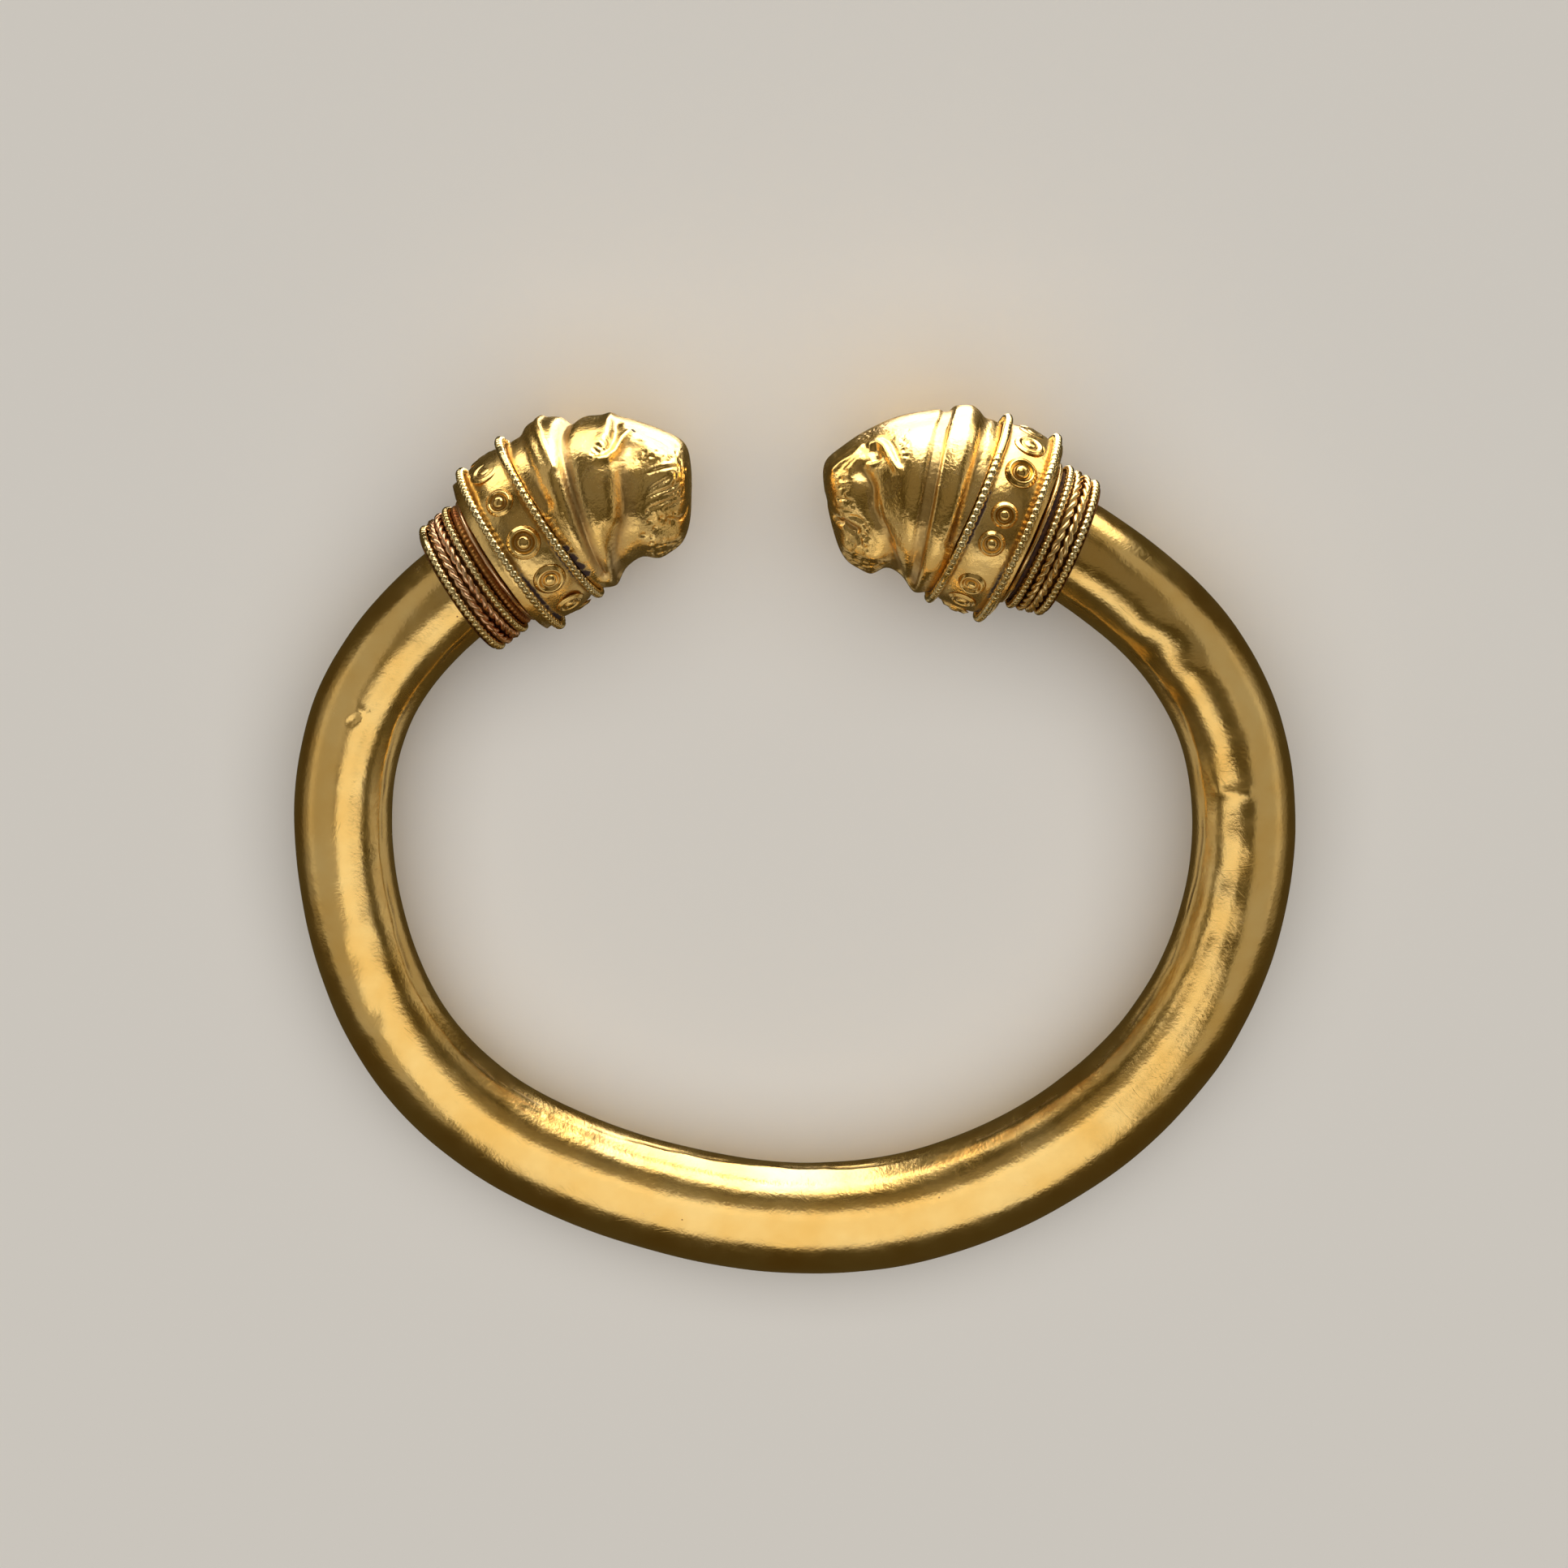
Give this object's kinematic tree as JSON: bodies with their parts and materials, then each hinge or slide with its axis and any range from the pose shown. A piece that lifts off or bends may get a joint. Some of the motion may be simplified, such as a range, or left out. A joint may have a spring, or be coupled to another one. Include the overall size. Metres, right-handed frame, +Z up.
{
  "type": "animal-head bracelet",
  "caption": "Open oval bracelet of hollow gold tube, its ends bound with beaded and plaited wire, ring-studded collars and facing animal heads, lying flat.",
  "frame": {"origin": "on the surface it lies on, under the middle of the bracelet's outline", "axes": "+Z up, +Y towards the gap between the heads, +X to the right seen from above"},
  "size_m": [0.08, 0.0704, 0.0161],
  "materials": {
    "hoop_gold": "yellow gold sheet, satin polish worn by handling, with fine scratches and small dents",
    "sleeve_gold": "gold sheet under the bound wires, reddened by deposits",
    "collar_gold": "yellow gold sheet, satin, with dark deposits beside the wires",
    "head_gold": "gold sheet worked from behind and chased, polished on its high places",
    "wire_gold": "beaded gold wire, bright crests and dark seats",
    "plait_gold": "twisted gold wire with a reddish deposit",
    "boss_gold": "gold wire rings with a granule in each"
  },
  "bodies": {
    "root": {"hoop": "hoop_gold", "left_sleeve": "sleeve_gold", "left_collar": "collar_gold", "left_head": "head_gold", "left_sleeve_outer_wire": "wire_gold", "left_plait_wire_a": "plait_gold", "left_plait_wire_b": "plait_gold", "left_sleeve_inner_wire": "wire_gold", "left_recess_wire": "plait_gold", "left_collar_back_wire": "wire_gold", "left_collar_front_wire": "wire_gold", "left_ring_boss_01": "boss_gold", "left_ring_boss_02": "boss_gold", "left_ring_boss_03": "boss_gold", "left_ring_boss_04": "boss_gold", "left_ring_boss_05": "boss_gold", "left_ring_boss_06": "boss_gold", "left_ring_boss_07": "boss_gold", "left_ring_boss_08": "boss_gold", "left_ring_boss_09": "boss_gold", "left_ring_boss_10": "boss_gold", "left_ring_boss_11": "boss_gold", "left_ring_boss_12": "boss_gold", "right_sleeve": "sleeve_gold", "right_collar": "collar_gold", "right_head": "head_gold", "right_sleeve_outer_wire": "wire_gold", "right_plait_wire_a": "plait_gold", "right_plait_wire_b": "plait_gold", "right_sleeve_inner_wire": "wire_gold", "right_recess_wire": "plait_gold", "right_collar_back_wire": "wire_gold", "right_collar_front_wire": "wire_gold", "right_ring_boss_01": "boss_gold", "right_ring_boss_02": "boss_gold", "right_ring_boss_03": "boss_gold", "right_ring_boss_04": "boss_gold", "right_ring_boss_05": "boss_gold", "right_ring_boss_06": "boss_gold", "right_ring_boss_07": "boss_gold", "right_ring_boss_08": "boss_gold", "right_ring_boss_09": "boss_gold", "right_ring_boss_10": "boss_gold", "right_ring_boss_11": "boss_gold", "right_ring_boss_12": "boss_gold", "right_ring_boss_13": "boss_gold", "right_ring_boss_14": "boss_gold", "right_ring_boss_15": "boss_gold"}
  },
  "joints": []
}
